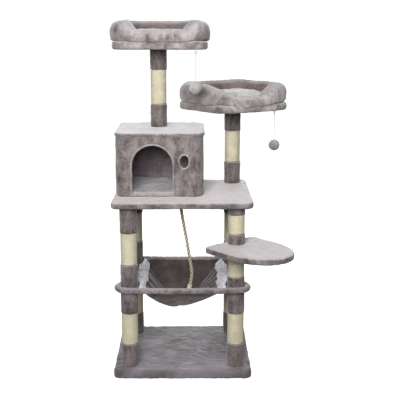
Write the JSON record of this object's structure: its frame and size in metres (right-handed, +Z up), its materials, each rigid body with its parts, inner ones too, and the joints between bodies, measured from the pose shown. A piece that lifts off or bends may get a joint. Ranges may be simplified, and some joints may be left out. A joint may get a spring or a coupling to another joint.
{
  "type": "cat tree",
  "caption": "Plush cat tree: base, sisal-wrapped posts, hammock with play rope, D-shaped step, deck with a house, and two bolstered perches with hanging pompoms.",
  "frame": {"origin": "centre of the base's underside", "axes": "+Z up; +X to the right along the long side of the base; the doorway faces -Y"},
  "size_m": [0.7445, 0.8361, 1.436],
  "materials": {
    "plush": "short-pile plush",
    "sisal": "natural sisal rope",
    "cardboard": "spiral-wound tube",
    "board": "bare particle board",
    "steel": "zinc plated",
    "string": "cotton string",
    "hammock_cloth": "brown suede cloth",
    "lining_cloth": "woven lining",
    "top_pompom_pile": "long pile",
    "side_pompom_pile": "long pile"
  },
  "bodies": {
    "root": {"back_left_post_sisal": "sisal", "back_left_post_sleeves": "plush", "back_left_post_tubes": "cardboard", "back_right_post_sisal": "sisal", "back_right_post_sleeves": "plush", "back_right_post_tubes": "cardboard", "base_board": "board", "base_cover": "plush", "board_bolts": "steel", "deck_board": "board", "deck_cover": "plush", "doorway_binding": "plush", "front_left_post_sisal": "sisal", "front_left_post_sleeves": "plush", "front_left_post_tubes": "cardboard", "front_right_post_sisal": "sisal", "front_right_post_sleeves": "plush", "front_right_post_tubes": "cardboard", "hammock_back_rail": "plush", "hammock_bag": "hammock_cloth", "hammock_front_rail": "plush", "hammock_side_hems": "plush", "house_back_wall": "board", "house_cover": "plush", "house_floor": "plush", "house_front_wall": "board", "house_lining": "lining_cloth", "joining_studs": "steel", "post_end_plugs": "board", "roof_board": "board", "roof_cover": "plush", "side_perch_board": "board", "side_perch_bolster": "plush", "side_perch_cover": "plush", "side_perch_pad": "plush", "side_post_sisal": "sisal", "side_post_sleeves": "plush", "side_post_tubes": "cardboard", "step_board": "board", "step_cover": "plush", "top_perch_board": "board", "top_perch_bolster": "plush", "top_perch_cover": "plush", "top_perch_pad": "plush", "top_post_sisal": "sisal", "top_post_sleeves": "plush", "top_post_tubes": "cardboard", "toy_staples": "steel", "window_binding": "plush"},
    "top_toy_link": {"top_toy_link": "string"},
    "top_toy": {"top_toy_eye": "string", "top_toy_string": "string", "top_toy_pompom": "top_pompom_pile"},
    "side_toy_link": {"side_toy_link": "string"},
    "side_toy": {"side_toy_eye": "string", "side_toy_string": "string", "side_toy_pompom": "side_pompom_pile"},
    "rope_link": {"rope_link": "sisal"},
    "play_rope": {"rope_ends": "sisal", "play_rope": "sisal"}
  },
  "joints": [
    {"name": "top_toy_swing_front_back", "type": "hinge", "parent": "root", "child": "top_toy_link", "pos_m": [0.054, -0.066, 1.314], "axis": [1, 0, 0], "range_deg": [-40, 8]},
    {"name": "top_toy_swing_side", "type": "hinge", "parent": "top_toy_link", "child": "top_toy", "pos_m": [0.054, -0.066, 1.3071], "axis": [0, 1, 0], "range_deg": [-10, 40]},
    {"name": "side_toy_swing_front_back", "type": "hinge", "parent": "root", "child": "side_toy_link", "pos_m": [0.394, 0.122, 1.053], "axis": [1, 0, 0], "range_deg": [-35, 35]},
    {"name": "side_toy_swing_side", "type": "hinge", "parent": "side_toy_link", "child": "side_toy", "pos_m": [0.394, 0.122, 1.0461], "axis": [0, 1, 0], "range_deg": [-35, 35]},
    {"name": "play_rope_swing_front_back", "type": "hinge", "parent": "root", "child": "rope_link", "pos_m": [-0.009, -0.05, 0.7], "axis": [1, 0, 0], "range_deg": [-12, 12]},
    {"name": "play_rope_swing_side", "type": "hinge", "parent": "rope_link", "child": "play_rope", "pos_m": [-0.009, -0.05, 0.6919], "axis": [0, 1, 0], "range_deg": [-12, 12]}
  ]
}
